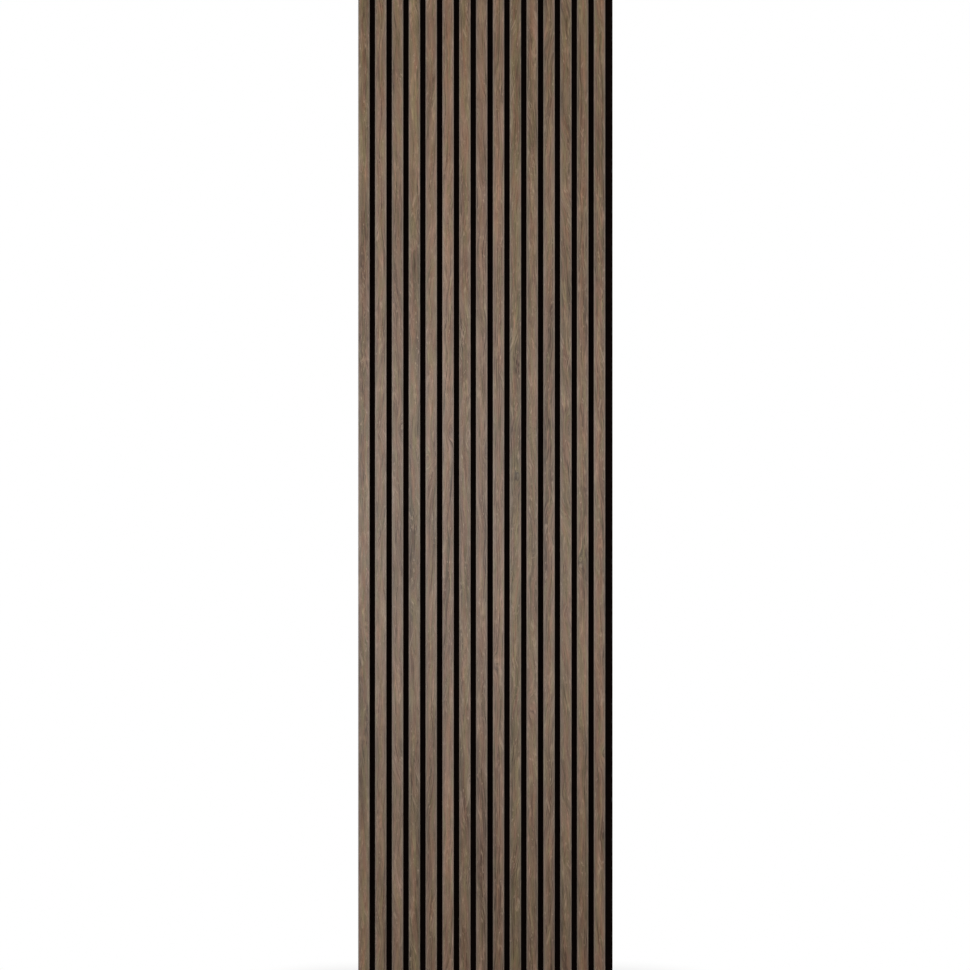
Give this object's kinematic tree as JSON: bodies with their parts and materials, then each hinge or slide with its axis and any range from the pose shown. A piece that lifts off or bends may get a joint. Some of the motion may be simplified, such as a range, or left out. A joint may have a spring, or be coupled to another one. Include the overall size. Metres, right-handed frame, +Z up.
{
  "type": "acoustic slat wall panel",
  "caption": "Tall wall panel of upright veneered slats, stapled with even gaps to a black felt sheet that absorbs sound.",
  "frame": {"origin": "centre of the felt's back face, which lies on the wall", "axes": "+Z up along the slats, +Y into the wall, +X to the right as seen from the room"},
  "size_m": [0.605, 0.021, 2.4],
  "materials": {
    "veneer": "matt lacquered smoked grey-brown walnut veneer",
    "mdf": "raw sawn fibreboard",
    "felt": "black needle-punched polyester felt",
    "staple_steel": "zinc-plated wire"
  },
  "bodies": {
    "root": {"felt_backing": "felt", "slat_core_01": "mdf", "slat_core_02": "mdf", "slat_core_03": "mdf", "slat_core_04": "mdf", "slat_core_05": "mdf", "slat_core_06": "mdf", "slat_core_07": "mdf", "slat_core_08": "mdf", "slat_core_09": "mdf", "slat_core_10": "mdf", "slat_core_11": "mdf", "slat_core_12": "mdf", "slat_core_13": "mdf", "slat_core_14": "mdf", "slat_core_15": "mdf", "slat_veneer_01": "veneer", "slat_veneer_02": "veneer", "slat_veneer_03": "veneer", "slat_veneer_04": "veneer", "slat_veneer_05": "veneer", "slat_veneer_06": "veneer", "slat_veneer_07": "veneer", "slat_veneer_08": "veneer", "slat_veneer_09": "veneer", "slat_veneer_10": "veneer", "slat_veneer_11": "veneer", "slat_veneer_12": "veneer", "slat_veneer_13": "veneer", "slat_veneer_14": "veneer", "slat_veneer_15": "veneer", "staples": "staple_steel"}
  },
  "joints": []
}
